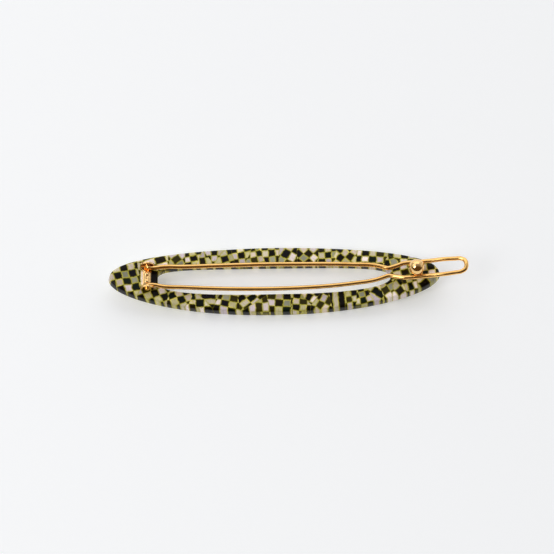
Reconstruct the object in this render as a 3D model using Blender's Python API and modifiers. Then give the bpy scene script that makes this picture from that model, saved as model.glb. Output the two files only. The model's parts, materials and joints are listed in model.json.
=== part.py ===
"""A ball-catch barrette: an arched acetate ring with a gold wire clip on its back.

Metres, +Z up. The barrette lies on its front face with the clip on top. +X runs from the hinge
to the catch, and the origin is on the surface that it rests on, under the middle of its outline.
Unless a comment says otherwise, x is counted from the middle of the acetate ring.
"""

import math

import bmesh
import bpy
from mathutils import Vector
from mathutils.geometry import interpolate_bezier

MM = 0.001

# Acetate ring
BODY_LENGTH = 83.2 * MM     # of the back face, from tip to tip
BODY_WIDTH = 17.8 * MM
BODY_THICKNESS = 3.0 * MM
ARCH_RISE = 3.5 * MM        # the tips stand this far above the middle
REST_LENGTH = 12.0 * MM     # the middle of the arch is flat, and the barrette rests on it
EDGE_RADIUS = 0.6 * MM
RIM_WIDTH = 4.95 * MM       # each long side of the ring, at its middle
SLOT_INSET = 12.1 * MM     # from each tip to the slot
HINGE_END_BLUNTNESS = 3.6   # exponents of the slot's superellipse, where 2 is an ellipse
CATCH_END_BLUNTNESS = 2.8

# Spring wire
WIRE_DIAMETER = 1.1 * MM
LOOP_OVERHANG = 7.2 * MM    # the loop reaches this far past the back face's tip
ARM_BOW = 3.4 * MM          # largest distance of an arm's middle from the centre line
WAIST_GAP = 1.0 * MM        # between the two arms where they come together
PIN_BEND = 0.62 * MM        # bend radius from arm to hinge pin, at the wire's middle
PIN_PROUD = 0.35 * MM       # each pin's end outside its ear
PIN_CHAMFER = 0.15 * MM

# Hinge bracket
HINGE_INSET = 9.25 * MM      # from the tip to the bracket's middle
SHEET = 0.4 * MM
EAR_SPACING = 5.95 * MM     # between the inner faces of the ears
EAR_LENGTH = 3.4 * MM       # along the ring
EAR_WALL = 0.8 * MM         # above the pin's hole
STRAP_LENGTH = 2.0 * MM     # the strap between the ears, along the ring
FOLD_RADIUS = 0.3 * MM      # inside the fold
ARM_LIFT = 0.3 * MM         # between the strap and the arms above it

# Rivets that hold the bracket
RIVET_SPACING = 1.9 * MM
RIVET_SHANK = 0.8 * MM      # diameter
RIVET_HEAD = 1.2 * MM       # diameter
RIVET_HEAD_HEIGHT = 0.25 * MM
RIVET_DEPTH = 2.2 * MM      # into the acetate

# Ball stud
BALL_DIAMETER = 4.0 * MM
STUD_INSET = 5.1 * MM       # from the tip to the stud's foot
CATCH = 0.52 * MM           # the ball overhangs each side of the loop by this much
NECK_DIAMETER = 1.5 * MM
SHOULDER_DIAMETER = 2.4 * MM
SHOULDER_HEIGHT = 0.35 * MM
STUD_SHANK = 1.6 * MM       # diameter
STUD_DEPTH = 2.3 * MM       # into the acetate

# Clearances
SEAT_GAP = 0.05 * MM        # under a piece that sits on another
BORE_GAP = 0.06 * MM        # around a shank or a pin in its hole
HOLE_END_GAP = 0.15 * MM    # below the end of a shank in its blind hole
BALL_GAP = 0.04 * MM        # between the ball and the wire caught under it

# What follows from the sizes above
HALF_LENGTH = BODY_LENGTH / 2
HALF_WIDTH = BODY_WIDTH / 2
HALF_REST = REST_LENGTH / 2
SLOT_HALF_LENGTH = HALF_LENGTH - SLOT_INSET
SLOT_HALF_WIDTH = HALF_WIDTH - RIM_WIDTH
TIP_TILT = math.atan(2 * ARCH_RISE / (HALF_LENGTH - HALF_REST))
TIP_REACH = ((BODY_THICKNESS - EDGE_RADIUS) * math.sin(TIP_TILT)
             + EDGE_RADIUS * (1 - math.cos(TIP_TILT)))      # of the front, past the back face's tip
BODY_X = (TIP_REACH - LOOP_OVERHANG) / 2                    # the ring's middle, from the origin
HINGE_X = HINGE_INSET - HALF_LENGTH
STUD_X = HALF_LENGTH - STUD_INSET
WIRE_RADIUS = WIRE_DIAMETER / 2
BALL_RADIUS = BALL_DIAMETER / 2
EAR_INNER = EAR_SPACING / 2
EAR_OUTER = EAR_INNER + SHEET
PIN_HOLE_RADIUS = WIRE_RADIUS + BORE_GAP
PIN_HEIGHT = SEAT_GAP + SHEET + ARM_LIFT + WIRE_RADIUS      # above the back face
ARM_AT_EAR = EAR_INNER - SEAT_GAP - WIRE_RADIUS
LOOP_HALF_GAP = BALL_RADIUS - CATCH + WIRE_RADIUS
WAIST_HALF_GAP = WAIST_GAP / 2 + WIRE_RADIUS
LOOP_END_X = HALF_LENGTH + LOOP_OVERHANG - WIRE_RADIUS

# The wire's height above the back face, at its middle, under the ball and past the tip
LIFT_AT_STUD = 2.3 * MM
LIFT_AT_END = 2.6 * MM
WAIST_BEFORE_STUD = 7.55 * MM

# Each arm from the hinge to the waist: share of the way, distance from the centre line, lift
ARM_ROUTE = (
    (0.06, 0.78 * ARM_BOW, 1.38 * MM),
    (0.15, 0.83 * ARM_BOW, 1.50 * MM),
    (0.30, 0.93 * ARM_BOW, 1.72 * MM),
    (0.50, 0.99 * ARM_BOW, 1.76 * MM),
    (0.65, 0.95 * ARM_BOW, 1.84 * MM),
    (0.78, 0.86 * ARM_BOW, 2.00 * MM),
    (0.87, 0.74 * ARM_BOW, 2.10 * MM),
    (0.925, 0.65 * ARM_BOW, 2.14 * MM),
    (0.955, 0.54 * ARM_BOW, 2.12 * MM),
    (0.98, 0.40 * ARM_BOW, 2.05 * MM),
)

# The loop from the waist to its end: distance from the stud, share of the half gap, lift
LOOP_ROUTE = (
    (-6.5 * MM, 0.62, 2.05 * MM),
    (-5.2 * MM, 0.78, 2.15 * MM),
    (-3.9 * MM, 0.95, 2.25 * MM),
    (-2.6 * MM, 1.0, 2.28 * MM),
    (0.0, 1.0, LIFT_AT_STUD),
    (3.0 * MM, 1.0, 2.4 * MM),
    (6.5 * MM, 1.0, LIFT_AT_END),
)

# The loop's closed end: distance back from its middle, share of the half gap
LOOP_END = (
    (2.9 * MM, 0.94),
    (1.3 * MM, 0.87),
    (0.38 * MM, 0.62),
    (0.05 * MM, 0.27),
)

RING_STATIONS = 96
RING_ROWS = 4               # of quads, from slot to outline
ROUND_STEPS = 32
SAMPLES_PER_SPAN = 4
FINE = 1e-6                 # merge distance

GOLD = (0.80, 0.52, 0.22)
PALE_GOLD = (0.86, 0.60, 0.30)
ACETATE = (0.16, 0.15, 0.09)


def clear_scene():
    for obj in list(bpy.data.objects):
        bpy.data.objects.remove(obj, do_unlink=True)


def new_collection(name):
    collection = bpy.data.collections.new(name)
    bpy.context.scene.collection.children.link(collection)
    return collection


def material(name, colour, roughness, metallic):
    made = bpy.data.materials.new(name)
    made.use_nodes = True
    shader = made.node_tree.nodes["Principled BSDF"]
    shader.inputs["Base Color"].default_value = (*colour, 1.0)
    shader.inputs["Roughness"].default_value = roughness
    shader.inputs["Metallic"].default_value = metallic
    made.diffuse_color = (*colour, 1.0)
    return made


def add_modifier(obj, kind, **settings):
    modifier = obj.modifiers.new(kind.title(), kind)
    for setting, value in settings.items():
        setattr(modifier, setting, value)
    return modifier


def object_from_bmesh(mesh_data, name, collection, finish=None):
    mesh = bpy.data.meshes.new(name)
    mesh_data.to_mesh(mesh)
    mesh_data.free()
    obj = bpy.data.objects.new(name, mesh)
    collection.objects.link(obj)
    if finish:
        mesh.materials.append(finish)
    return obj


def shade_round(obj, angle=35.0):
    obj.data.shade_smooth()
    obj.data.set_sharp_from_angle(angle=math.radians(angle))


def back_height(x):
    """Height of the ring's back face, which carries the clip."""
    past_flat = max(abs(x) - HALF_REST, 0.0) / (HALF_LENGTH - HALF_REST)
    return BODY_THICKNESS + ARCH_RISE * past_flat ** 2


def back_tilt(x):
    """Angle about Y that stands a piece square on the back face."""
    run = HALF_LENGTH - HALF_REST
    slope = 2 * ARCH_RISE * max(abs(x) - HALF_REST, 0.0) / run ** 2
    return -math.atan(math.copysign(slope, x))


def above_back(x, y, height):
    """The point that lies square above the back face at x and y, from the origin."""
    tilt = back_tilt(x)
    return Vector((
        BODY_X + x + height * math.sin(tilt),
        y,
        back_height(x) + height * math.cos(tilt),
    ))


def stand_on_back(obj, x, y=0.0):
    obj.location = above_back(x, y, 0.0)
    obj.rotation_euler = (0.0, back_tilt(x), 0.0)


def make_turned(name, profile, collection, finish=None):
    """A Screw of (radius, height) points, which run from the top down the outer side."""
    mesh = bmesh.new()
    points = [mesh.verts.new((radius, 0.0, height)) for radius, height in profile]
    for upper, lower in zip(points, points[1:]):
        mesh.edges.new((upper, lower))
    obj = object_from_bmesh(mesh, name, collection, finish)
    add_modifier(obj, "SCREW", steps=ROUND_STEPS, render_steps=ROUND_STEPS, use_merge_vertices=True,
                 merge_threshold=FINE, use_smooth_shade=True)
    return obj


def arc(centre_x, centre_z, radius_x, radius_z, start, end, steps):
    """Points on an elliptical arc, from start to end in degrees, anticlockwise from +X."""
    angles = [math.radians(start + (end - start) * step / steps) for step in range(steps + 1)]
    return [(centre_x + radius_x * math.cos(a), centre_z + radius_z * math.sin(a)) for a in angles]


def bore_cutter(name, radius, depth, x, y, cutters):
    """A blind hole square to the back face; its mouth stands clear of the face."""
    mouth = BODY_THICKNESS
    profile = [(0.0, mouth), (radius, mouth), (radius, -depth), (0.0, -depth)]
    cutter = make_turned(name, profile, cutters)
    stand_on_back(cutter, x, y)
    hide_cutter(cutter)
    return cutter


def hide_cutter(cutter):
    cutter.hide_render = True
    cutter.display_type = "WIRE"


def power(value, exponent):
    return math.copysign(abs(value) ** exponent, value)


def make_body(collection, cutters, finish):
    """The back face as quads lofted from slot to outline, thickened towards the front."""
    mesh = bmesh.new()
    stations = []
    for station in range(RING_STATIONS):
        angle = math.tau * station / RING_STATIONS
        across, along = math.sin(angle), math.cos(angle)
        bluntness = CATCH_END_BLUNTNESS if along > 0 else HINGE_END_BLUNTNESS
        slot = Vector((SLOT_HALF_LENGTH * power(along, 2 / bluntness),
                       SLOT_HALF_WIDTH * power(across, 2 / bluntness)))
        outline = Vector((HALF_LENGTH * along, HALF_WIDTH * across))
        points = [slot.lerp(outline, row / RING_ROWS) for row in range(RING_ROWS + 1)]
        stations.append([mesh.verts.new((x, y, back_height(x))) for x, y in points])
    for this, after in zip(stations, stations[1:] + stations[:1]):
        for row in range(RING_ROWS):
            mesh.faces.new((this[row], this[row + 1], after[row + 1], after[row]))
    body = object_from_bmesh(mesh, "acetate_body", collection, finish)
    body.location.x = BODY_X
    add_modifier(body, "SOLIDIFY", thickness=BODY_THICKNESS, offset=-1.0, use_even_offset=True)
    add_modifier(body, "BEVEL", width=EDGE_RADIUS, segments=3, limit_method="ANGLE",
                 angle_limit=math.radians(50))

    rivet_hole = RIVET_SHANK / 2 + BORE_GAP
    stud_hole = STUD_SHANK / 2 + BORE_GAP
    holes = [
        bore_cutter("stud_hole", stud_hole, STUD_DEPTH + HOLE_END_GAP, STUD_X, 0.0, cutters),
    ]
    for side, y in (("far", RIVET_SPACING / 2), ("near", -RIVET_SPACING / 2)):
        depth = RIVET_DEPTH + HOLE_END_GAP
        holes.append(bore_cutter(f"rivet_hole_{side}", rivet_hole, depth, HINGE_X, y, cutters))
    for hole in holes:
        add_modifier(body, "BOOLEAN", operation="DIFFERENCE", solver="EXACT", object=hole)
    shade_round(body)
    return body


def bracket_sections():
    """Across the bracket from ear to ear: (y, z, half length along the ring)."""
    middle = SHEET / 2
    fold = FOLD_RADIUS + middle
    fold_y = EAR_INNER + middle - fold
    fold_z = SEAT_GAP + middle + fold
    ear_half = EAR_LENGTH / 2
    strap_half = STRAP_LENGTH / 2
    flare = fold_y / 2

    half = []
    for step in range(7):
        y = fold_y * step / 6
        blend = max(y - flare, 0.0) / (fold_y - flare)
        half.append((y, SEAT_GAP + middle, strap_half + (ear_half - strap_half) * blend ** 2))
    for y, z in arc(fold_y, fold_z, fold, fold, -90, 0, 4)[1:]:
        half.append((y, z, ear_half))
    for length, z in arc(0.0, PIN_HEIGHT, ear_half, PIN_HOLE_RADIUS + EAR_WALL, 0, 75, 6):
        half.append((EAR_INNER + middle, z, length))
    mirrored = [(-y, z, length) for y, z, length in reversed(half[1:])]
    return mirrored + half


def make_bracket(collection, cutters, finish):
    """A stamped strap with its two ears folded up, and holes for the pins and the rivets."""
    mesh = bmesh.new()
    rows = []
    for y, z, half_length in bracket_sections():
        rows.append([mesh.verts.new((x, y, z)) for x in (-half_length, half_length)])
    for row, after in zip(rows, rows[1:]):
        mesh.faces.new((row[0], row[1], after[1], after[0]))
    bracket = object_from_bmesh(mesh, "hinge_bracket", collection, finish)
    stand_on_back(bracket, HINGE_X)
    add_modifier(bracket, "SOLIDIFY", thickness=SHEET, offset=0.0, use_even_offset=True)
    add_modifier(bracket, "BEVEL", width=SHEET / 5, segments=2, limit_method="ANGLE",
                 angle_limit=math.radians(40))

    pin_hole = make_turned("pin_hole", [(0.0, EAR_SPACING), (PIN_HOLE_RADIUS, EAR_SPACING),
                                        (PIN_HOLE_RADIUS, -EAR_SPACING), (0.0, -EAR_SPACING)], cutters)
    pin_hole.location = above_back(HINGE_X, 0.0, PIN_HEIGHT)
    pin_hole.rotation_euler = (math.radians(90), 0.0, 0.0)
    hide_cutter(pin_hole)
    holes = [pin_hole]
    for side, y in (("far", RIVET_SPACING / 2), ("near", -RIVET_SPACING / 2)):
        radius = RIVET_SHANK / 2 + BORE_GAP
        holes.append(bore_cutter(f"strap_hole_{side}", radius, SHEET, HINGE_X, y, cutters))
    for hole in holes:
        add_modifier(bracket, "BOOLEAN", operation="DIFFERENCE", solver="EXACT", object=hole)
    shade_round(bracket)
    return bracket


def make_rivet(side, y, collection, finish):
    """A domed head on the strap and a shank down into the acetate."""
    head, shank = RIVET_HEAD / 2, RIVET_SHANK / 2
    under_head = SEAT_GAP + SHEET + SEAT_GAP
    dome = arc(0.0, under_head, head, RIVET_HEAD_HEIGHT, 90, 0, 5)
    profile = [(0.0, dome[0][1])] + dome[1:]
    profile += [(shank, under_head), (shank, -RIVET_DEPTH), (0.0, -RIVET_DEPTH)]
    rivet = make_turned(f"hinge_rivet_{side}", profile, collection, finish)
    stand_on_back(rivet, HINGE_X, y)
    return rivet


def make_stud(collection, finish):
    """A ball on a neck, with a shoulder on the acetate and a shank down into it."""
    neck, shoulder, shank = NECK_DIAMETER / 2, SHOULDER_DIAMETER / 2, STUD_SHANK / 2
    reach = BALL_RADIUS + WIRE_RADIUS + BALL_GAP
    ball_height = LIFT_AT_STUD + math.sqrt(reach ** 2 - LOOP_HALF_GAP ** 2)
    neck_angle = -math.degrees(math.acos(neck / BALL_RADIUS))
    ball = arc(0.0, ball_height, BALL_RADIUS, BALL_RADIUS, 90, neck_angle, 16)
    shoulder_top = SEAT_GAP + SHOULDER_HEIGHT
    profile = [(0.0, ball[0][1])] + ball[1:]
    profile += [
        (neck, shoulder_top),
        (shoulder - SHOULDER_HEIGHT / 3, shoulder_top),
        (shoulder, shoulder_top - SHOULDER_HEIGHT / 3),
        (shoulder, SEAT_GAP),
        (shank, SEAT_GAP),
        (shank, -STUD_DEPTH),
        (0.0, -STUD_DEPTH),
    ]
    stud = make_turned("ball_stud", profile, collection, finish)
    stand_on_back(stud, STUD_X)
    return stud


def wire_half_route():
    """From one pin's end to the middle of the loop's end, on the far side, from the origin."""
    pin = above_back(HINGE_X, 0.0, PIN_HEIGHT)
    waist_x = STUD_X - WAIST_BEFORE_STUD
    arm = []
    for share, half_gap, lift in ARM_ROUTE:
        x = HINGE_X + (waist_x - HINGE_X) * share
        arm.append(Vector((BODY_X + x, half_gap, back_height(x) + lift)))
    heading = (Vector((arm[0].x, 0.0, arm[0].z)) - pin).normalized()

    # The pin, then a quarter bend that turns it into the arm
    pin_end = EAR_OUTER + PIN_PROUD
    bend_start = ARM_AT_EAR + PIN_BEND
    route = [pin + Vector((0.0, pin_end, 0.0)), pin + Vector((0.0, pin_end - PIN_CHAMFER, 0.0))]
    for along, across in arc(PIN_BEND, bend_start, PIN_BEND, PIN_BEND, 180, 270, 3):
        route.append(pin + heading * along + Vector((0.0, across, 0.0)))
    route.append(pin + heading * (EAR_LENGTH / 2 + ARM_LIFT) + Vector((0.0, ARM_AT_EAR, 0.0)))
    route += arm
    route.append(Vector((BODY_X + waist_x, WAIST_HALF_GAP, back_height(waist_x) + ARM_ROUTE[-1][2])))
    for distance, share, lift in LOOP_ROUTE:
        x = STUD_X + distance
        route.append(Vector((BODY_X + x, share * LOOP_HALF_GAP, back_height(x) + lift)))
    for distance, share in LOOP_END:
        x = LOOP_END_X - distance
        route.append(Vector((BODY_X + x, share * LOOP_HALF_GAP, back_height(x) + LIFT_AT_END)))
    return route


def smooth_route(points):
    """Points read from a smooth curve through the route's own points, however far apart."""
    tangents = []
    for index, point in enumerate(points):
        before = points[max(index - 1, 0)]
        after = points[min(index + 1, len(points) - 1)]
        gap_in, gap_out = (point - before).length, (after - point).length
        if gap_in == 0.0 or gap_out == 0.0:
            tangents.append((after - before).normalized())
        else:
            tangent = (point - before) * gap_out / gap_in + (after - point) * gap_in / gap_out
            tangents.append(tangent / (gap_in + gap_out))
    smooth = [points[0]]
    for index in range(len(points) - 1):
        start, end = points[index], points[index + 1]
        third = (end - start).length / 3
        span = interpolate_bezier(start, start + tangents[index] * third,
                                  end - tangents[index + 1] * third, end, SAMPLES_PER_SPAN + 1)
        smooth += span[1:]
    return smooth


def make_wire(collection, finish):
    """One length of round wire; its origin is on the hinge's axis."""
    half = wire_half_route()
    mirrored = [Vector((point.x, -point.y, point.z)) for point in reversed(half)]
    pin = above_back(HINGE_X, 0.0, PIN_HEIGHT)
    points = smooth_route(half + mirrored)

    curve = bpy.data.curves.new("wire_clip", "CURVE")
    curve.dimensions = "3D"
    curve.bevel_depth = WIRE_RADIUS
    curve.bevel_resolution = 2
    curve.use_fill_caps = True
    curve.materials.append(finish)
    spline = curve.splines.new("POLY")
    spline.points.add(len(points) - 1)
    for spline_point, point in zip(spline.points, points):
        spline_point.co = (*(point - pin), 1.0)
    for end in (spline.points[0], spline.points[-1]):
        end.radius = 1.0 - PIN_CHAMFER / WIRE_RADIUS
    wire = bpy.data.objects.new("wire_clip", curve)
    wire.location = pin
    collection.objects.link(wire)
    return wire


def main():
    clear_scene()
    barrette = new_collection("barrette")
    cutters = new_collection("cutters")
    acetate = material("acetate", ACETATE, 0.12, 0.0)
    gold_wire = material("gold_wire", PALE_GOLD, 0.18, 1.0)
    gold_fitting = material("gold_fitting", GOLD, 0.15, 1.0)

    make_body(barrette, cutters, acetate)
    make_bracket(barrette, cutters, gold_fitting)
    make_rivet("far", RIVET_SPACING / 2, barrette, gold_fitting)
    make_rivet("near", -RIVET_SPACING / 2, barrette, gold_fitting)
    make_stud(barrette, gold_fitting)
    make_wire(barrette, gold_wire)


main()
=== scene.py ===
"""The barrette's looks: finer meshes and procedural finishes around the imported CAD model.

Metres, +Z up, in the frame of the CAD model. The barrette lies on its front face with the clip
on top, and +X runs from the hinge to the catch. Unless a comment says otherwise, x is counted
from the middle of the acetate ring.
"""

import json
import math

import bmesh
import bpy
from mathutils import Matrix, Vector
from mathutils.geometry import interpolate_bezier


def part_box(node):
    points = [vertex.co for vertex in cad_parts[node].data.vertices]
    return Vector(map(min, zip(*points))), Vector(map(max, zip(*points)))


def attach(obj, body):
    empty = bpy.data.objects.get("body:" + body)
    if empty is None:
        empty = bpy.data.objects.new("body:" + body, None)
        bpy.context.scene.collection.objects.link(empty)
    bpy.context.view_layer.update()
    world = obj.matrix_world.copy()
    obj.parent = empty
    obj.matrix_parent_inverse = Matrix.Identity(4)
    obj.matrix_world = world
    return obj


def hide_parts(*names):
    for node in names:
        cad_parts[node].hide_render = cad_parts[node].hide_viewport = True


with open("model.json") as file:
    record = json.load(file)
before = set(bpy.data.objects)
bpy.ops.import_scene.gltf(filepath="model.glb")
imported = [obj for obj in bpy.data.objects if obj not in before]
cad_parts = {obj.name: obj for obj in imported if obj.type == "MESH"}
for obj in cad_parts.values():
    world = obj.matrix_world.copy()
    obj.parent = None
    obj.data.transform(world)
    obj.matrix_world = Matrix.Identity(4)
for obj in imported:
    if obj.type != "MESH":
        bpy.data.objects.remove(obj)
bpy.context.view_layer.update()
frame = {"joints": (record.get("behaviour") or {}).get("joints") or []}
RING_LOW, RING_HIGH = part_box("acetate_body")
PIN = Vector(frame["joints"][0]["pos_m"])

MM = 0.001

# Acetate ring
BODY_LENGTH = 83.2 * MM     # of the back face, from tip to tip
BODY_WIDTH = RING_HIGH.y - RING_LOW.y
BODY_THICKNESS = 3.0 * MM
ARCH_RISE = 3.5 * MM
REST_LENGTH = 12.0 * MM
EDGE_RADIUS = 0.6 * MM
RIM_WIDTH = 4.95 * MM
SLOT_INSET = 12.1 * MM
HINGE_END_BLUNTNESS = 3.6   # exponents of the slot's superellipse, where 2 is an ellipse
CATCH_END_BLUNTNESS = 2.8

# Spring wire
WIRE_DIAMETER = 1.1 * MM
LOOP_OVERHANG = 7.2 * MM
ARM_BOW = 3.4 * MM
WAIST_GAP = 1.0 * MM
PIN_BEND = 0.62 * MM
PIN_PROUD = 0.35 * MM
PIN_CHAMFER = 0.15 * MM

# Hinge bracket
HINGE_INSET = 9.25 * MM
SHEET = 0.4 * MM
EAR_SPACING = 5.95 * MM
EAR_LENGTH = 3.4 * MM
EAR_WALL = 0.8 * MM
STRAP_LENGTH = 2.0 * MM
FOLD_RADIUS = 0.3 * MM
ARM_LIFT = 0.3 * MM
BEAD = 0.12 * MM            # height of the two beads pressed along the strap

# Rivets
RIVET_SPACING = 1.9 * MM
RIVET_SHANK = 0.8 * MM
RIVET_HEAD = 1.2 * MM
RIVET_HEAD_HEIGHT = 0.25 * MM
RIVET_DEPTH = 2.2 * MM

# Ball stud
BALL_DIAMETER = 4.0 * MM
STUD_INSET = 5.1 * MM
CATCH = 0.52 * MM
NECK_DIAMETER = 1.5 * MM
SHOULDER_DIAMETER = 2.4 * MM
SHOULDER_HEIGHT = 0.35 * MM
STUD_SHANK = 1.6 * MM
STUD_DEPTH = 2.3 * MM

# Clearances
SEAT_GAP = 0.05 * MM
BORE_GAP = 0.06 * MM
HOLE_END_GAP = 0.15 * MM
BALL_GAP = 0.04 * MM

# What follows from the sizes above
HALF_LENGTH = BODY_LENGTH / 2
HALF_WIDTH = BODY_WIDTH / 2
HALF_REST = REST_LENGTH / 2
SLOT_HALF_LENGTH = HALF_LENGTH - SLOT_INSET
SLOT_HALF_WIDTH = HALF_WIDTH - RIM_WIDTH
BODY_X = (RING_LOW.x + RING_HIGH.x) / 2
HINGE_X = HINGE_INSET - HALF_LENGTH
STUD_X = HALF_LENGTH - STUD_INSET
WIRE_RADIUS = WIRE_DIAMETER / 2
BALL_RADIUS = BALL_DIAMETER / 2
EAR_INNER = EAR_SPACING / 2
EAR_OUTER = EAR_INNER + SHEET
PIN_HOLE_RADIUS = WIRE_RADIUS + BORE_GAP
PIN_HEIGHT = SEAT_GAP + SHEET + ARM_LIFT + WIRE_RADIUS
ARM_AT_EAR = EAR_INNER - SEAT_GAP - WIRE_RADIUS
LOOP_HALF_GAP = BALL_RADIUS - CATCH + WIRE_RADIUS
WAIST_HALF_GAP = WAIST_GAP / 2 + WIRE_RADIUS
LOOP_END_X = HALF_LENGTH + LOOP_OVERHANG - WIRE_RADIUS

# The wire's route
WAIST_BEFORE_STUD = 7.55 * MM
LIFT_AT_STUD = 2.3 * MM     # from the back face to the wire's middle
LIFT_AT_END = 2.6 * MM

# Each arm from the hinge to the waist: share of the way, distance from the centre line, lift
ARM_ROUTE = (
    (0.06, 0.78 * ARM_BOW, 1.38 * MM),
    (0.15, 0.83 * ARM_BOW, 1.50 * MM),
    (0.30, 0.93 * ARM_BOW, 1.72 * MM),
    (0.50, 0.99 * ARM_BOW, 1.76 * MM),
    (0.65, 0.95 * ARM_BOW, 1.84 * MM),
    (0.78, 0.86 * ARM_BOW, 2.00 * MM),
    (0.87, 0.74 * ARM_BOW, 2.10 * MM),
    (0.925, 0.65 * ARM_BOW, 2.14 * MM),
    (0.955, 0.54 * ARM_BOW, 2.12 * MM),
    (0.98, 0.40 * ARM_BOW, 2.05 * MM),
)

# The loop from the waist to its end: distance from the stud, share of the half gap, lift
LOOP_ROUTE = (
    (-6.5 * MM, 0.62, 2.05 * MM),
    (-5.2 * MM, 0.78, 2.15 * MM),
    (-3.9 * MM, 0.95, 2.25 * MM),
    (-2.6 * MM, 1.0, 2.28 * MM),
    (0.0, 1.0, LIFT_AT_STUD),
    (3.0 * MM, 1.0, 2.4 * MM),
    (6.5 * MM, 1.0, LIFT_AT_END),
)

# The loop's closed end: distance back from its middle, share of the half gap
LOOP_END = (
    (2.9 * MM, 0.94),
    (1.3 * MM, 0.87),
    (0.38 * MM, 0.62),
    (0.05 * MM, 0.27),
)

# The mosaic in the acetate: each patch is cut at its own angle from a block of square rods.
# Middle of a dark tile (x, y), turn in degrees, tile length and width in millimetres
TILE = 1.88
PATCHES = (
    (-37.2, -1.1, 14, TILE, TILE),
    (-30.6, 0.1, 0, 2.2, 4.2),
    (-30.2, -4.0, 23, TILE, TILE),
    (-23.6, -5.6, 21, TILE, TILE),
    (-20.8, -8.0, 2, 1.6, 2.6),
    (-19.0, -6.4, 3, 2.1, 2.1),
    (-16.8, -4.5, 1, 3.6, 1.5),
    (-12.7, -6.4, -12, 2.0, 1.7),
    (-5.8, -4.9, 38, 2.4, 1.6),
    (-4.1, -7.6, 2, 1.7, 2.5),
    (1.0, -6.5, -4, 2.0, TILE),
    (7.2, -6.3, -6, 1.8, 1.6),
    (8.6, -5.0, 62, 2.0, 1.5),
    (11.4, -7.2, 60, 2.0, 1.5),
    (16.9, -6.0, 4, 1.5, 5.2),
    (18.8, -6.1, 8, 1.5, 1.6),
    (22.4, -6.4, 12, 1.6, 1.6),
    (26.2, -4.6, -38, 3.4, 1.8),
    (28.1, -4.1, 30, TILE, TILE),
    (31.7, -4.5, 36, 2.0, TILE),
    (34.5, -3.5, 12, 1.4, 2.2),
    (38.0, -3.1, 34, 2.6, 2.0),
    (39.8, 1.5, 6, TILE, TILE),
    (30.9, 1.8, 12, 2.0, TILE),
    (33.3, 5.2, -8, TILE, TILE),
    (25.1, 4.6, -6, TILE, 1.7),
    (16.9, 5.5, 48, 1.9, 1.7),
    (13.8, 6.4, 2, 1.7, 1.8),
    (8.8, 7.0, 44, 1.8, 1.8),
    (3.0, 7.1, 58, 2.4, 1.9),
    (-0.6, 7.3, 4, 1.7, 1.9),
    (-5.1, 5.4, 12, 1.7, 1.6),
    (-8.4, 6.8, 8, 1.8, 1.7),
    (-12.6, 5.8, 14, 1.9, 1.8),
    (-15.3, 7.6, 2, 1.7, 1.7),
    (-18.3, 5.1, 4, 1.6, 2.0),
    (-20.5, 5.9, 14, 1.7, 1.5),
    (-24.9, 5.5, 38, 2.2, 1.6),
    (-28.9, 5.3, 20, 2.8, 1.9),
)

# How finely the curves are drawn
RING_STATIONS = 320
RING_SHARES = (0.15, 0.3, 0.45, 0.6, 0.75, 0.88)    # the rows across the ring's faces
CORNER_STEPS = 6
ROUND_STEPS = 64
STUD_STEPS = 96
BALL_STEPS = 48
FILLET_STEPS = 5
RIVET_DOME_STEPS = 12
STRAP_STEPS = 20
FOLD_STEPS = 8
EAR_STEPS = 14
BRACKET_COLUMNS = 16
PIN_BEND_STEPS = 3
SAMPLES_PER_SPAN = 8
WIRE_RESOLUTION = 6
BRACKET_BEVEL_SEGMENTS = 3
SHARP_ANGLE = 35.0          # degrees above which an edge is shaded sharp
WIRE_SHARP_ANGLE = 50.0
BEVEL_ANGLE = 50.0          # degrees above which an edge of the bracket is bevelled
FINE = 1e-6                 # merge distance


# ---------------------------------------------------------------- shapes

def object_from_bmesh(mesh_data, name, finish=None):
    """A new object with the mesh, which is freed."""
    mesh = bpy.data.meshes.new(name)
    mesh_data.to_mesh(mesh)
    mesh_data.free()
    obj = bpy.data.objects.new(name, mesh)
    bpy.context.scene.collection.objects.link(obj)
    if finish:
        mesh.materials.append(finish)
    return obj


def add_modifier(obj, kind, **settings):
    modifier = obj.modifiers.new(kind.title(), kind)
    for setting, value in settings.items():
        setattr(modifier, setting, value)


def apply_modifiers(obj):
    """Turns what the modifiers make into the object's own mesh."""
    bpy.context.view_layer.update()
    evaluated = obj.evaluated_get(bpy.context.evaluated_depsgraph_get())
    applied = bpy.data.meshes.new_from_object(evaluated)
    plain = obj.data
    obj.modifiers.clear()
    obj.data = applied
    bpy.data.meshes.remove(plain)


def shade_round(obj, angle=SHARP_ANGLE):
    obj.data.shade_smooth()
    obj.data.set_sharp_from_angle(angle=math.radians(angle))


def back_height(x):
    """Height of the ring's back face, which carries the clip."""
    past_flat = max(abs(x) - HALF_REST, 0.0) / (HALF_LENGTH - HALF_REST)
    return BODY_THICKNESS + ARCH_RISE * past_flat ** 2


def back_slope(x):
    """Rise of the back face per metre along x."""
    run = HALF_LENGTH - HALF_REST
    return math.copysign(2 * ARCH_RISE * max(abs(x) - HALF_REST, 0.0) / run ** 2, x)


def above_back(x, y, height):
    """The point that lies square above the back face at x and y, in the frame."""
    tilt = math.atan(back_slope(x))
    return Vector((
        BODY_X + x - height * math.sin(tilt),
        y,
        back_height(x) + height * math.cos(tilt),
    ))


def standing_on_back(x, y=0.0):
    """The matrix that stands a piece square on the back face."""
    turn = Matrix.Rotation(-math.atan(back_slope(x)), 4, "Y")
    return Matrix.Translation(above_back(x, y, 0.0)) @ turn


def arc(centre_x, centre_z, radius_x, radius_z, start, end, steps):
    """Points on an elliptical arc, from start to end in degrees, anticlockwise from +X."""
    points = []
    for step in range(steps + 1):
        angle = math.radians(start + (end - start) * step / steps)
        x = centre_x + radius_x * math.cos(angle)
        z = centre_z + radius_z * math.sin(angle)
        points.append((x, z))
    return points


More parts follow.
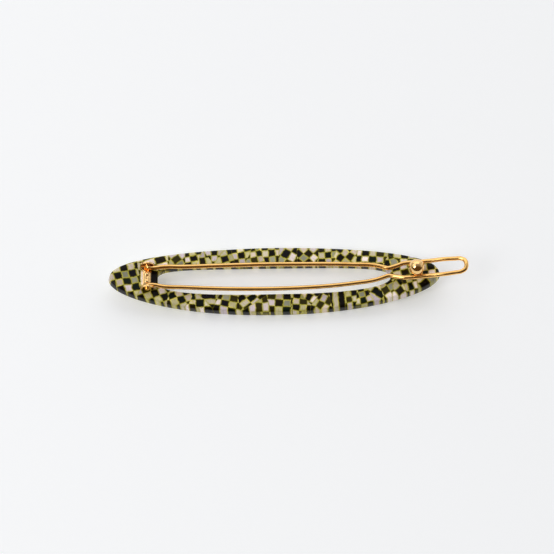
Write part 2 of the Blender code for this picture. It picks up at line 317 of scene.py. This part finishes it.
def turned(name, profile, finish=None, steps=ROUND_STEPS):
    """A Screw of (radius, height) points, which run from the top down the outer side."""
    mesh = bmesh.new()
    points = [mesh.verts.new((radius, 0.0, height)) for radius, height in profile]
    for upper, lower in zip(points, points[1:]):
        mesh.edges.new((upper, lower))
    obj = object_from_bmesh(mesh, name, finish)
    add_modifier(obj, "SCREW", steps=steps, render_steps=steps, use_merge_vertices=True,
                 merge_threshold=FINE, use_smooth_shade=True)
    apply_modifiers(obj)
    return obj


def weld(obj):
    """Merges points that lie on top of each other and drops the faces that close up."""
    mesh = bmesh.new()
    mesh.from_mesh(obj.data)
    bmesh.ops.remove_doubles(mesh, verts=mesh.verts, dist=FINE)
    bmesh.ops.dissolve_degenerate(mesh, edges=mesh.edges, dist=FINE)
    mesh.to_mesh(obj.data)
    mesh.free()


def drill(obj, holes):
    """Cuts round holes: (radius, top, bottom, matrix) each, then drops the cutters."""
    cutters = []
    for radius, top, bottom, matrix in holes:
        cutter = turned("cutter", [(0.0, top), (radius, top), (radius, bottom), (0.0, bottom)])
        cutter.matrix_world = matrix
        cutters.append(cutter)
        add_modifier(obj, "BOOLEAN", operation="DIFFERENCE", solver="EXACT", object=cutter)
    apply_modifiers(obj)
    weld(obj)
    for cutter in cutters:
        bpy.data.objects.remove(cutter, do_unlink=True)


def power(value, exponent):
    """A power that keeps the value's sign."""
    return math.copysign(abs(value) ** exponent, value)


def superellipse(angle, half_length, half_width, bluntness):
    """The point at an angle and the direction square to the curve there, outwards."""
    point = Vector((half_length * power(math.cos(angle), 2 / bluntness),
                    half_width * power(math.sin(angle), 2 / bluntness)))
    square = Vector((power(point.x / half_length, bluntness - 1) / half_length,
                     power(point.y / half_width, bluntness - 1) / half_width))
    return point, square.normalized()


def in_ring(flat, depth):
    """The point that lies depth below the back face, square to it."""
    slope = back_slope(flat.x)
    square = Vector((-slope, 0.0, 1.0)).normalized()
    return Vector((BODY_X + flat.x, flat.y, back_height(flat.x))) - square * depth


def ring_section(angle):
    """Once around the ring's section, from the back of the slot over the outline to the front."""
    bluntness = CATCH_END_BLUNTNESS if math.cos(angle) > 0 else HINGE_END_BLUNTNESS
    slot, from_slot = superellipse(angle, SLOT_HALF_LENGTH, SLOT_HALF_WIDTH, bluntness)
    outline, outwards = superellipse(angle, HALF_LENGTH, HALF_WIDTH, 2.0)

    corner = arc(EDGE_RADIUS, EDGE_RADIUS, EDGE_RADIUS, EDGE_RADIUS, 180, 270, CORNER_STEPS)
    slot_corner = [(slot + from_slot * inset, depth) for inset, depth in corner]
    outer_corner = [(outline - outwards * inset, depth) for inset, depth in reversed(corner)]

    across = []
    for share in RING_SHARES:
        across.append((slot_corner[-1][0].lerp(outer_corner[0][0], share), 0.0))
    back = slot_corner + across + outer_corner
    front = [(flat, BODY_THICKNESS - depth) for flat, depth in reversed(back)]
    middle = BODY_THICKNESS / 2
    loop = back + [(outline, middle)] + front + [(slot, middle)]
    return [in_ring(flat, depth) for flat, depth in loop]


def make_ring(finish):
    """The arched acetate ring with polished, rounded edges, and blind holes for the metal."""
    mesh = bmesh.new()
    sections = []
    for station in range(RING_STATIONS):
        angle = math.tau * (station + 0.5) / RING_STATIONS
        sections.append([mesh.verts.new(point) for point in ring_section(angle)])
    for this, after in zip(sections, sections[1:] + sections[:1]):
        for row in range(len(this)):
            last = row - 1
            mesh.faces.new((this[last], this[row], after[row], after[last]))
    bmesh.ops.recalc_face_normals(mesh, faces=mesh.faces)
    ring = object_from_bmesh(mesh, "acetate_ring", finish)

    rivet_hole = RIVET_SHANK / 2 + BORE_GAP
    rivet_end = -(RIVET_DEPTH + HOLE_END_GAP)
    holes = [(STUD_SHANK / 2 + BORE_GAP, BODY_THICKNESS, -(STUD_DEPTH + HOLE_END_GAP),
              standing_on_back(STUD_X))]
    for side in (1, -1):
        holes.append((rivet_hole, BODY_THICKNESS, rivet_end,
                      standing_on_back(HINGE_X, side * RIVET_SPACING / 2)))
    drill(ring, holes)
    shade_round(ring)
    return ring


def smooth_step(value):
    """From 0 to 1 with level ends."""
    value = min(max(value, 0.0), 1.0)
    return value * value * (3 - 2 * value)


def bracket_sections():
    """Across the bracket from ear to ear: (y, z, half length along the ring, bead height)."""
    middle = SHEET / 2
    fold = FOLD_RADIUS + middle
    fold_y = EAR_INNER + middle - fold
    fold_z = SEAT_GAP + middle + fold
    ear_half = EAR_LENGTH / 2
    strap_half = STRAP_LENGTH / 2
    flare = fold_y / 2      # where the strap starts to widen and its beads to fade

    half = []
    for step in range(STRAP_STEPS + 1):
        y = fold_y * step / STRAP_STEPS
        blend = max(y - flare, 0.0) / (fold_y - flare)
        bead = BEAD * (1 - smooth_step((y - flare) / (fold_y - flare)))
        half_length = strap_half + (ear_half - strap_half) * blend ** 2
        half.append((y, SEAT_GAP + middle, half_length, bead))
    for y, z in arc(fold_y, fold_z, fold, fold, -90, 0, FOLD_STEPS)[1:]:
        half.append((y, z, ear_half, 0.0))
    for half_length, z in arc(0.0, PIN_HEIGHT, ear_half, PIN_HOLE_RADIUS + EAR_WALL, 0, 80,
                              EAR_STEPS):
        half.append((EAR_INNER + middle, z, half_length, 0.0))
    mirrored = [(-y, z, half_length, bead) for y, z, half_length, bead in reversed(half[1:])]
    return mirrored + half


def make_bracket(finish):
    """The stamped strap with its two ears folded up and two beads pressed along it."""
    columns = [2 * step / BRACKET_COLUMNS - 1 for step in range(BRACKET_COLUMNS + 1)]
    mesh = bmesh.new()
    rows = []
    for y, z, half_length, bead in bracket_sections():
        row = []
        for column in columns:
            ridge = math.sin(math.pi * abs(column)) ** 2
            row.append(mesh.verts.new((column * half_length, y, z + bead * ridge)))
        rows.append(row)
    for row, after in zip(rows, rows[1:]):
        for column in range(BRACKET_COLUMNS):
            mesh.faces.new((row[column], row[column + 1], after[column + 1], after[column]))
    bracket = object_from_bmesh(mesh, "bracket", finish)
    bracket.data.transform(standing_on_back(HINGE_X))
    add_modifier(bracket, "SOLIDIFY", thickness=SHEET, offset=0.0, use_even_offset=True)
    add_modifier(bracket, "BEVEL", width=SHEET / 4, segments=BRACKET_BEVEL_SEGMENTS,
                 limit_method="ANGLE", angle_limit=math.radians(BEVEL_ANGLE))
    apply_modifiers(bracket)
    weld(bracket)

    across = Matrix.Translation(PIN) @ Matrix.Rotation(math.radians(90), 4, "X")
    holes = [(PIN_HOLE_RADIUS, EAR_SPACING, -EAR_SPACING, across)]
    for side in (1, -1):
        holes.append((RIVET_SHANK / 2 + BORE_GAP, BODY_THICKNESS, -SHEET,
                      standing_on_back(HINGE_X, side * RIVET_SPACING / 2)))
    drill(bracket, holes)
    shade_round(bracket)
    return bracket


def make_rivet(name, y, finish):
    """A domed head on the strap and a shank down into the acetate."""
    head, shank = RIVET_HEAD / 2, RIVET_SHANK / 2
    under_head = SEAT_GAP + SHEET + SEAT_GAP
    dome = arc(0.0, under_head, head, RIVET_HEAD_HEIGHT, 90, 0, RIVET_DOME_STEPS)
    tip = shank / 4         # chamfer of the shank's end
    profile = [(0.0, dome[0][1])] + dome[1:]
    profile += [(shank, under_head), (shank, tip - RIVET_DEPTH), (shank - tip, -RIVET_DEPTH),
                (0.0, -RIVET_DEPTH)]
    rivet = turned(name, profile, finish)
    rivet.data.transform(standing_on_back(HINGE_X, y))
    shade_round(rivet)
    return rivet


def make_stud(finish):
    """A ball on a neck, with a shoulder on the acetate and a shank down into it."""
    neck, shoulder, shank = NECK_DIAMETER / 2, SHOULDER_DIAMETER / 2, STUD_SHANK / 2
    reach = BALL_RADIUS + WIRE_RADIUS + BALL_GAP
    ball_height = LIFT_AT_STUD + math.sqrt(reach ** 2 - LOOP_HALF_GAP ** 2)
    neck_angle = -math.degrees(math.acos(neck / BALL_RADIUS))
    ball = arc(0.0, ball_height, BALL_RADIUS, BALL_RADIUS, 90, neck_angle, BALL_STEPS)
    shoulder_top = SEAT_GAP + SHOULDER_HEIGHT
    fillet = SHOULDER_HEIGHT / 2
    tip = shank / 5         # chamfer of the shank's end
    profile = [(0.0, ball[0][1])] + ball[1:]
    profile += arc(neck + fillet, shoulder_top + fillet, fillet, fillet, 180, 270, FILLET_STEPS)
    profile += arc(shoulder - fillet, shoulder_top - fillet, fillet, fillet, 90, 0, FILLET_STEPS)
    profile += [(shoulder, SEAT_GAP), (shank, SEAT_GAP), (shank, tip - STUD_DEPTH),
                (shank - tip, -STUD_DEPTH), (0.0, -STUD_DEPTH)]
    stud = turned("stud", profile, finish, steps=STUD_STEPS)
    stud.data.transform(standing_on_back(STUD_X))
    shade_round(stud)
    return stud


def wire_half_route():
    """From one pin's end to the middle of the loop's end, on the far side, in the frame."""
    waist_x = STUD_X - WAIST_BEFORE_STUD
    arm = []
    for share, half_gap, lift in ARM_ROUTE:
        x = HINGE_X + (waist_x - HINGE_X) * share
        arm.append(Vector((BODY_X + x, half_gap, back_height(x) + lift)))
    heading = (Vector((arm[0].x, 0.0, arm[0].z)) - PIN).normalized()

    # The pin, then a quarter bend that turns it into the arm
    pin_end = EAR_OUTER + PIN_PROUD
    bend_start = ARM_AT_EAR + PIN_BEND
    route = [PIN + Vector((0.0, pin_end, 0.0)), PIN + Vector((0.0, pin_end - PIN_CHAMFER, 0.0))]
    for along, across in arc(PIN_BEND, bend_start, PIN_BEND, PIN_BEND, 180, 270, PIN_BEND_STEPS):
        route.append(PIN + heading * along + Vector((0.0, across, 0.0)))
    route.append(PIN + heading * (EAR_LENGTH / 2 + ARM_LIFT) + Vector((0.0, ARM_AT_EAR, 0.0)))
    route += arm
    waist_height = back_height(waist_x) + ARM_ROUTE[-1][2]
    route.append(Vector((BODY_X + waist_x, WAIST_HALF_GAP, waist_height)))
    for distance, share, lift in LOOP_ROUTE:
        x = STUD_X + distance
        route.append(Vector((BODY_X + x, share * LOOP_HALF_GAP, back_height(x) + lift)))
    for distance, share in LOOP_END:
        x = LOOP_END_X - distance
        route.append(Vector((BODY_X + x, share * LOOP_HALF_GAP, back_height(x) + LIFT_AT_END)))
    return route


def smooth_route(points):
    """Points read from a smooth curve through the route's own points, however far apart."""
    tangents = []
    for index, point in enumerate(points):
        before = points[max(index - 1, 0)]
        after = points[min(index + 1, len(points) - 1)]
        gap_in, gap_out = (point - before).length, (after - point).length
        if gap_in == 0.0 or gap_out == 0.0:
            tangents.append((after - before).normalized())
        else:
            tangent = (point - before) * gap_out / gap_in + (after - point) * gap_in / gap_out
            tangents.append(tangent / (gap_in + gap_out))
    smooth = [points[0]]
    for index in range(len(points) - 1):
        start, end = points[index], points[index + 1]
        third = (end - start).length / 3
        span = interpolate_bezier(start, start + tangents[index] * third,
                                  end - tangents[index + 1] * third, end, SAMPLES_PER_SPAN + 1)
        smooth += span[1:]
    return smooth


def make_wire(finish):
    """One length of round wire, with its two ends cut and chamfered."""
    half = wire_half_route()
    mirrored = [Vector((point.x, -point.y, point.z)) for point in reversed(half)]
    points = smooth_route(half + mirrored)

    curve = bpy.data.curves.new("spring_wire", "CURVE")
    curve.dimensions = "3D"
    curve.bevel_depth = WIRE_RADIUS
    curve.bevel_resolution = WIRE_RESOLUTION
    curve.use_fill_caps = True
    curve.materials.append(finish)
    spline = curve.splines.new("POLY")
    spline.points.add(len(points) - 1)
    for spline_point, point in zip(spline.points, points):
        spline_point.co = (*point, 1.0)
    for end in (spline.points[0], spline.points[-1]):
        end.radius = 1.0 - PIN_CHAMFER / WIRE_RADIUS
    shaper = bpy.data.objects.new("wire_curve", curve)
    bpy.context.scene.collection.objects.link(shaper)
    bpy.context.view_layer.update()
    evaluated = shaper.evaluated_get(bpy.context.evaluated_depsgraph_get())
    mesh = bpy.data.meshes.new_from_object(evaluated)
    bpy.data.objects.remove(shaper, do_unlink=True)
    bpy.data.curves.remove(curve)
    wire = bpy.data.objects.new("spring_wire", mesh)
    bpy.context.scene.collection.objects.link(wire)
    shade_round(wire, WIRE_SHARP_ANGLE)
    return wire


# ---------------------------------------------------------------- finishes

NOISE_RANGE = (0.3, 0.7)        # where nearly all of a noise's values lie
RANDOM_RANGE = (0.2, 0.9)       # where nearly all of a white noise colour's brightness lies


class Nodes:
    """Short ways to add shader nodes, whose inputs are sockets or plain values."""

    def __init__(self, tree):
        self.tree = tree

    def add(self, kind, *values, **settings):
        node = self.tree.nodes.new("ShaderNode" + kind)
        for setting, value in settings.items():
            setattr(node, setting, value)
        for index, value in enumerate(values):
            self.feed(node.inputs[index], value)
        return node

    def feed(self, socket, value):
        if isinstance(value, bpy.types.NodeSocket):
            self.tree.links.new(value, socket)
        else:
            socket.default_value = value

    def math(self, operation, *values):
        return self.add("Math", *values, operation=operation).outputs[0]

    def vector(self, operation, *values):
        return self.add("VectorMath", *values, operation=operation).outputs[0]

    def mix(self, kind, factor, first, second, blend="MIX"):
        node = self.tree.nodes.new("ShaderNodeMix")
        node.data_type = kind
        if kind == "RGBA":
            node.blend_type = blend
        inputs = [socket for socket in node.inputs if socket.enabled]
        for socket, value in zip(inputs, (factor, first, second)):
            self.feed(socket, value)
        return [socket for socket in node.outputs if socket.enabled][0]

    def noise(self, place, scale, detail=2.0, roughness=0.5):
        node = self.add("TexNoise")
        self.feed(node.inputs["Vector"], place)
        node.inputs["Scale"].default_value = scale
        node.inputs["Detail"].default_value = detail
        node.inputs["Roughness"].default_value = roughness
        return node

    def ramp(self, factor, stops, interpolation="LINEAR"):
        node = self.add("ValToRGB", factor)
        node.color_ramp.interpolation = interpolation
        elements = node.color_ramp.elements
        while len(elements) < len(stops):
            elements.new(0.5)
        for element, (position, colour) in zip(elements, stops):
            element.position = position
            element.color = (*colour, 1.0)
        return node.outputs["Color"]

    def between(self, value, low, high):
        """0 below low, 1 above high, smooth in between."""
        node = self.add("MapRange", value, low, high, 0.0, 1.0, interpolation_type="SMOOTHSTEP")
        return node.outputs[0]

    def spread(self, value, low, high, values=NOISE_RANGE):
        """From low to high as the value goes over its own usual range."""
        return self.add("MapRange", value, *values, low, high).outputs[0]

    def bump(self, shader, height, strength, distance):
        node = self.add("Bump")
        node.inputs["Strength"].default_value = strength
        node.inputs["Distance"].default_value = distance
        self.feed(node.inputs["Height"], height)
        self.feed(shader.inputs["Normal"], node.outputs[0])


def new_material(name):
    material = bpy.data.materials.new(name)
    material.use_nodes = True
    shader = material.node_tree.nodes["Principled BSDF"]
    return material, Nodes(material.node_tree), shader


# The mosaic's colours. Tiles: from which random number on, colour
DARK_TILES = (
    (0.00, (0.004, 0.002, 0.0005)),
    (0.30, (0.002, 0.004, 0.001)),
    (0.48, (0.005, 0.003, 0.006)),
    (0.62, (0.014, 0.009, 0.001)),
    (0.80, (0.036, 0.028, 0.002)),
    (0.90, (0.004, 0.010, 0.004)),
)
PALE_TILES = (
    (0.00, (0.84, 0.74, 0.60)),
    (0.24, (0.66, 0.63, 0.34)),
    (0.37, (0.74, 0.67, 0.71)),
    (0.56, (0.84, 0.79, 0.58)),
    (0.75, (0.36, 0.38, 0.28)),
    (0.83, (0.98, 0.90, 0.86)),
)
PALE_SHADES = (0.70, 1.18)      # each pale tile's own brightness
DARK_CLOUDS = (0.034, 0.032, 0.024, 1.0)
SEAM_COLOUR = (0.52, 0.48, 0.055, 1.0)
BRIGHT_SEAM = (0.90, 0.79, 0.12, 1.0)
DARK_SEAM = (0.150, 0.130, 0.004, 1.0)

# The pearl's flow in the pale tiles, partly a painted pearly sheen that lifts them above their
# own colour in streaks: value of the noise, what it does to the colour
PEARL_FLOW_AND_SHEEN = (
    (0.28, (0.78, 0.80, 0.68)),
    (0.45, (1.02, 1.00, 0.96)),
    (0.58, (1.16, 1.08, 1.16)),
    (0.74, (0.98, 1.04, 0.94)),
)
PEARL_STRETCH = (2.2, 0.7, 1.0)

# The mosaic's sizes, in millimetres
MOSAIC_HEIGHT = 4.5             # where the patches lie as in the table
ROD_LEAN = (0.06, -0.04)        # sideways per millimetre of height
WAVER = 0.75                    # how far the hot press pushed the rods about, at the most
PATCH_SEAM = 0.12               # from a tile's edge, as which a seam between patches counts
PALE_LINE = 0.44                # how far the yellow-green reaches into a pale tile
DARK_LINE = 0.28                # and into a dark one
FAR_AWAY = 1000.0               # further than any patch


def nearest_patch(nodes, flat):
    """The patch that a point lies in: its middle and turn, its tile size, how far its seam is."""
    nearest, second, place, size = None, FAR_AWAY, None, None
    for x, y, turn, length, width in PATCHES:
        measured = nodes.add("VectorMath", flat, (x, y, 0.0), operation="DISTANCE")
        distance = measured.outputs["Value"]
        here = (x, y, math.radians(turn))
        tile = (length, width, 0.0)
        if place is None:
            place = nodes.add("CombineXYZ", *here).outputs[0]
            size = nodes.add("CombineXYZ", *tile).outputs[0]
            nearest = distance
            continue
        closer = nodes.math("LESS_THAN", distance, nearest)
        place = nodes.mix("VECTOR", closer, place, here)
        size = nodes.mix("VECTOR", closer, size, tile)
        second = nodes.math("MINIMUM", second, nodes.math("MAXIMUM", nearest, distance))
        nearest = nodes.math("MINIMUM", nearest, distance)
    seam = nodes.math("MULTIPLY", nodes.math("SUBTRACT", second, nearest), 0.5)
    return place, size, seam


def acetate_material():
    """Square rods of black and pearl acetate in yellow-green, cut and laid as a mosaic."""
    material, nodes, shader = new_material("mosaic_acetate")

    # Millimetres from the middle of the ring, a little uneven, as the hot pressed sheet is
    point = nodes.add("TexCoord").outputs["Object"]
    from_ring = nodes.vector("SUBTRACT", point, (BODY_X, 0.0, 0.0))
    in_mm = nodes.vector("MULTIPLY", from_ring, (1 / MM, 1 / MM, 1 / MM))
    split = nodes.add("SeparateXYZ", in_mm)
    height = nodes.math("SUBTRACT", split.outputs["Z"], MOSAIC_HEIGHT)
    lean_x = nodes.math("MULTIPLY_ADD", height, ROD_LEAN[0], split.outputs["X"])
    lean_y = nodes.math("MULTIPLY_ADD", height, ROD_LEAN[1], split.outputs["Y"])
    plain = nodes.add("CombineXYZ", lean_x, lean_y, 0.0).outputs[0]
    push = nodes.noise(plain, scale=0.60, detail=3.0, roughness=0.65).outputs["Color"]
    push = nodes.vector("SUBTRACT", push, (0.5, 0.5, 0.5))
    push = nodes.vector("MULTIPLY", push, (WAVER, WAVER, 0.0))
    flat = nodes.vector("ADD", plain, push)

    place, size, seam = nearest_patch(nodes, flat)

    # Tiles of the patch: which one, and how far its edges are
    place_parts = nodes.add("SeparateXYZ", place)
    size_parts = nodes.add("SeparateXYZ", size)
    patch_x, patch_y, patch_turn = place_parts.outputs
    middle = nodes.add("CombineXYZ", patch_x, patch_y, 0.0).outputs[0]
    away = nodes.vector("SUBTRACT", flat, middle)
    turn = nodes.math("MULTIPLY", patch_turn, -1.0)
    rotate = nodes.add("VectorRotate", rotation_type="Z_AXIS")
    nodes.feed(rotate.inputs["Vector"], away)
    nodes.feed(rotate.inputs["Angle"], turn)
    turned_parts = nodes.add("SeparateXYZ", rotate.outputs[0])
    indices, edges = [], []
    for axis in ("X", "Y"):
        tile = size_parts.outputs[axis]
        steps = nodes.math("ADD", nodes.math("DIVIDE", turned_parts.outputs[axis], tile), 0.5)
        index = nodes.math("FLOOR", steps)
        share = nodes.math("SUBTRACT", steps, index)
        edge = nodes.math("MINIMUM", share, nodes.math("SUBTRACT", 1.0, share))
        indices.append(index)
        edges.append(nodes.math("MULTIPLY", edge, tile))
    parity = nodes.math("PINGPONG", nodes.math("ADD", *indices), 1.0)
    edge = nodes.math("MINIMUM", *edges)
    edge = nodes.math("MINIMUM", edge, nodes.math("ADD", seam, PATCH_SEAM))

    # Each tile's own tone
    which = nodes.add("CombineXYZ", *indices, patch_x).outputs[0]
    random = nodes.add("TexWhiteNoise", which, noise_dimensions="3D")
    tone = random.outputs["Value"]
    dark = nodes.ramp(tone, DARK_TILES, "CONSTANT")
    pale = nodes.ramp(tone, PALE_TILES, "CONSTANT")

    # Pearl flows through the pale tiles, partly as a painted sheen that brightens them in
    # streaks, and the dark ones are cloudy
    flow = nodes.vector("MULTIPLY", rotate.outputs[0], PEARL_STRETCH)
    pearl = nodes.noise(flow, scale=0.9, detail=4.0, roughness=0.6).outputs["Fac"]
    pale = nodes.mix("RGBA", 1.0, pale, nodes.ramp(pearl, PEARL_FLOW_AND_SHEEN), "MULTIPLY")
    shade = nodes.spread(random.outputs["Color"], *PALE_SHADES, values=RANDOM_RANGE)
    shaded = nodes.add("VectorMath", pale, operation="SCALE")
    nodes.feed(shaded.inputs["Scale"], shade)
    pale = shaded.outputs[0]
    cloud = nodes.noise(flat, scale=1.6, detail=3.0).outputs["Fac"]
    cloudy = nodes.math("MULTIPLY", nodes.between(cloud, 0.55, 0.80), 0.5)
    dark = nodes.mix("RGBA", cloudy, dark, DARK_CLOUDS)

    # Yellow-green between the tiles, wider on the pale side, where it tints the pearl
    brightness = nodes.noise(flat, scale=0.45, detail=1.0).outputs["Fac"]
    tint = nodes.mix("RGBA", nodes.between(brightness, 0.50, 0.72), SEAM_COLOUR, BRIGHT_SEAM)
    pale_line = nodes.math("SUBTRACT", 1.0, nodes.between(edge, 0.0, PALE_LINE))
    pale = nodes.mix("RGBA", pale_line, pale, tint)
    dark_line = nodes.math("SUBTRACT", 1.0, nodes.between(edge, 0.0, DARK_LINE))
    dark = nodes.mix("RGBA", dark_line, dark, DARK_SEAM)
    colour = nodes.mix("RGBA", parity, dark, pale)
    nodes.feed(shader.inputs["Base Color"], colour)

    # Polished, with fine wipe marks and a slight unevenness
    wipe = nodes.noise(point, scale=900.0, detail=4.0, roughness=0.65).outputs["Fac"]
    nodes.feed(shader.inputs["Roughness"], nodes.spread(wipe, 0.16, 0.30))
    shader.inputs["IOR"].default_value = 1.47
    shader.inputs["Specular IOR Level"].default_value = 0.10
    shader.inputs["Coat Weight"].default_value = 0.05
    shader.inputs["Coat Roughness"].default_value = 0.05
    ripple = nodes.noise(point, scale=260.0).outputs["Fac"]
    nodes.bump(shader, ripple, strength=0.25, distance=0.12 * MM)
    return material


# Gold finishes: clean colour, tarnished colour, marks per metre along x, y and z, roughness
WIRE_GOLD = ((0.98, 0.59, 0.20, 1.0), (0.76, 0.35, 0.055, 1.0), (300.0, 2500.0, 2500.0),
             (0.10, 0.20))
FITTING_GOLD = ((0.98, 0.64, 0.27, 1.0), (0.82, 0.42, 0.10, 1.0), (1400.0, 1400.0, 1400.0),
                (0.08, 0.17))


def gold_material(name, clean, tarnished, marks_per_metre, roughness):
    """Thin gold plating on spring steel or brass, with fine marks and slight tarnish."""
    material, nodes, shader = new_material(name)
    point = nodes.add("TexCoord").outputs["Object"]
    tarnish = nodes.noise(point, scale=240.0, detail=3.0, roughness=0.6).outputs["Fac"]
    tarnish = nodes.math("MULTIPLY", nodes.between(tarnish, 0.50, 0.75), 0.5)
    nodes.feed(shader.inputs["Base Color"], nodes.mix("RGBA", tarnish, clean, tarnished))
    shader.inputs["Metallic"].default_value = 1.0

    marks_place = nodes.vector("MULTIPLY", point, marks_per_metre)
    marks = nodes.noise(marks_place, scale=1.0, detail=5.0, roughness=0.7).outputs["Fac"]
    nodes.feed(shader.inputs["Roughness"], nodes.spread(marks, *roughness))
    nodes.bump(shader, marks, strength=0.12, distance=0.02 * MM)
    return material


FLOOR_COLOURS = ((0.745, 0.765, 0.785, 1.0), (0.77, 0.79, 0.81, 1.0))
FLOOR_GLOW = (0.97, 0.985, 1.0, 1.0)


def floor_material():
    """Matt white board, lit through a little from below, with the faintest unevenness."""
    material, nodes, shader = new_material("studio_floor")
    point = nodes.add("TexCoord").outputs["Object"]
    patchy = nodes.noise(point, scale=2.0).outputs["Fac"]
    nodes.feed(shader.inputs["Base Color"], nodes.mix("RGBA", patchy, *FLOOR_COLOURS))
    grain = nodes.noise(point, scale=3000.0, detail=3.0).outputs["Fac"]
    nodes.feed(shader.inputs["Roughness"], nodes.spread(grain, 0.75, 0.85))
    shader.inputs["Specular IOR Level"].default_value = 0.2
    shader.inputs["Emission Color"].default_value = FLOOR_GLOW
    shader.inputs["Emission Strength"].default_value = 0.34
    return material


# ---------------------------------------------------------------- studio

FLOOR_HALF_SIDE = 1.6
FLOOR_SEGMENTS = 8
FLOOR_GAP = 0.02 * MM           # below the face that the barrette rests on

# What the studio's walls give off
WALLS = (0.42, 0.42, 0.43, 1.0)
BEHIND_CAMERA = (0.085, 0.050, 0.018, 1.0)
BACKDROP = (0.84, 0.85, 0.86, 1.0)      # as the camera itself sees the walls

# The softboxes, which all face the middle of the frame: name, place, width, height, watts
SOFTBOXES = (
    ("key", (-0.55, -0.34, 0.75), 0.34, 0.50, 2.75),
    ("back", (0.0, 1.1, 0.42), 2.2, 0.7, 3.1),
    ("left", (-0.8, 0.15, 0.95), 0.8, 1.0, 2.2),
    ("right", (1.2, 0.25, 0.45), 1.1, 0.7, 0.7),
    ("top", (0.0, 0.8, 1.0), 1.6, 0.65, 3.2),
)

CAMERA_ELEVATION = 67.0
CAMERA_AZIMUTH = -1.0
CAMERA_DISTANCE = 0.5
VIEW_WIDTH = 141.0 * MM         # across the picture, at the barrette
FRAMING_SHIFT = (0.0049, 0.0038)
SENSOR = 36.0                   # millimetres


def make_floor():
    mesh = bmesh.new()
    bmesh.ops.create_grid(mesh, x_segments=FLOOR_SEGMENTS, y_segments=FLOOR_SEGMENTS,
                          size=FLOOR_HALF_SIDE)
    floor = object_from_bmesh(mesh, "floor", floor_material())
    floor.location.z = -FLOOR_GAP


def make_lights():
    for name, place, width, height, watts in SOFTBOXES:
        light = bpy.data.lights.new(name, "AREA")
        light.shape = "RECTANGLE"
        light.size = width
        light.size_y = height
        light.energy = watts
        softbox = bpy.data.objects.new(name, light)
        softbox.location = place
        softbox.rotation_euler = (-Vector(place)).to_track_quat("-Z", "Y").to_euler()
        bpy.context.scene.collection.objects.link(softbox)


def make_world():
    """A pale studio, dark and warm on the camera's side, as a camera, stand and person are."""
    world = bpy.data.worlds.new("studio")
    world.use_nodes = True
    bpy.context.scene.world = world
    nodes = Nodes(world.node_tree)
    background = world.node_tree.nodes["Background"]
    direction = nodes.add("TexCoord").outputs["Generated"]
    backwards = nodes.add("SeparateXYZ", direction).outputs["Y"]
    around = nodes.mix("RGBA", nodes.between(backwards, -0.50, 0.35), BEHIND_CAMERA, WALLS)
    seen = nodes.add("LightPath").outputs["Is Camera Ray"]
    nodes.feed(background.inputs["Color"], nodes.mix("RGBA", seen, around, BACKDROP))


def make_camera():
    """Looks down at the clip from a little in front, with a long lens."""
    elevation = math.radians(CAMERA_ELEVATION)
    azimuth = math.radians(CAMERA_AZIMUTH)
    away = Vector((
        math.sin(azimuth) * math.cos(elevation),
        -math.cos(azimuth) * math.cos(elevation),
        math.sin(elevation),
    ))
    aim = Vector((BODY_X, 0.0, BODY_THICKNESS))
    data = bpy.data.cameras.new("camera")
    data.sensor_width = SENSOR
    data.lens = SENSOR * CAMERA_DISTANCE / VIEW_WIDTH
    data.shift_x, data.shift_y = FRAMING_SHIFT
    data.clip_start = 0.01
    camera = bpy.data.objects.new("camera", data)
    camera.location = aim + away * CAMERA_DISTANCE
    camera.rotation_euler = (-away).to_track_quat("-Z", "Y").to_euler()
    bpy.context.scene.collection.objects.link(camera)
    bpy.context.scene.camera = camera


def stand_in(piece, body, node):
    """The piece moves with the body, and stands for the CAD node, which is hidden."""
    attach(piece, body)
    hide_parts(node)


def main():
    acetate = acetate_material()
    gold_wire = gold_material("gold_wire", *WIRE_GOLD)
    gold_fitting = gold_material("gold_fitting", *FITTING_GOLD)

    stand_in(make_ring(acetate), "barrette", "acetate_body")
    stand_in(make_bracket(gold_fitting), "barrette", "hinge_bracket")
    for side, y in (("far", RIVET_SPACING / 2), ("near", -RIVET_SPACING / 2)):
        rivet = make_rivet(f"rivet_{side}", y, gold_fitting)
        stand_in(rivet, "barrette", f"hinge_rivet_{side}")
    stand_in(make_stud(gold_fitting), "barrette", "ball_stud")
    stand_in(make_wire(gold_wire), "clip", "wire_clip")

    make_floor()
    make_world()
    make_lights()
    make_camera()
    bpy.context.scene.view_settings.view_transform = "Standard"


main()
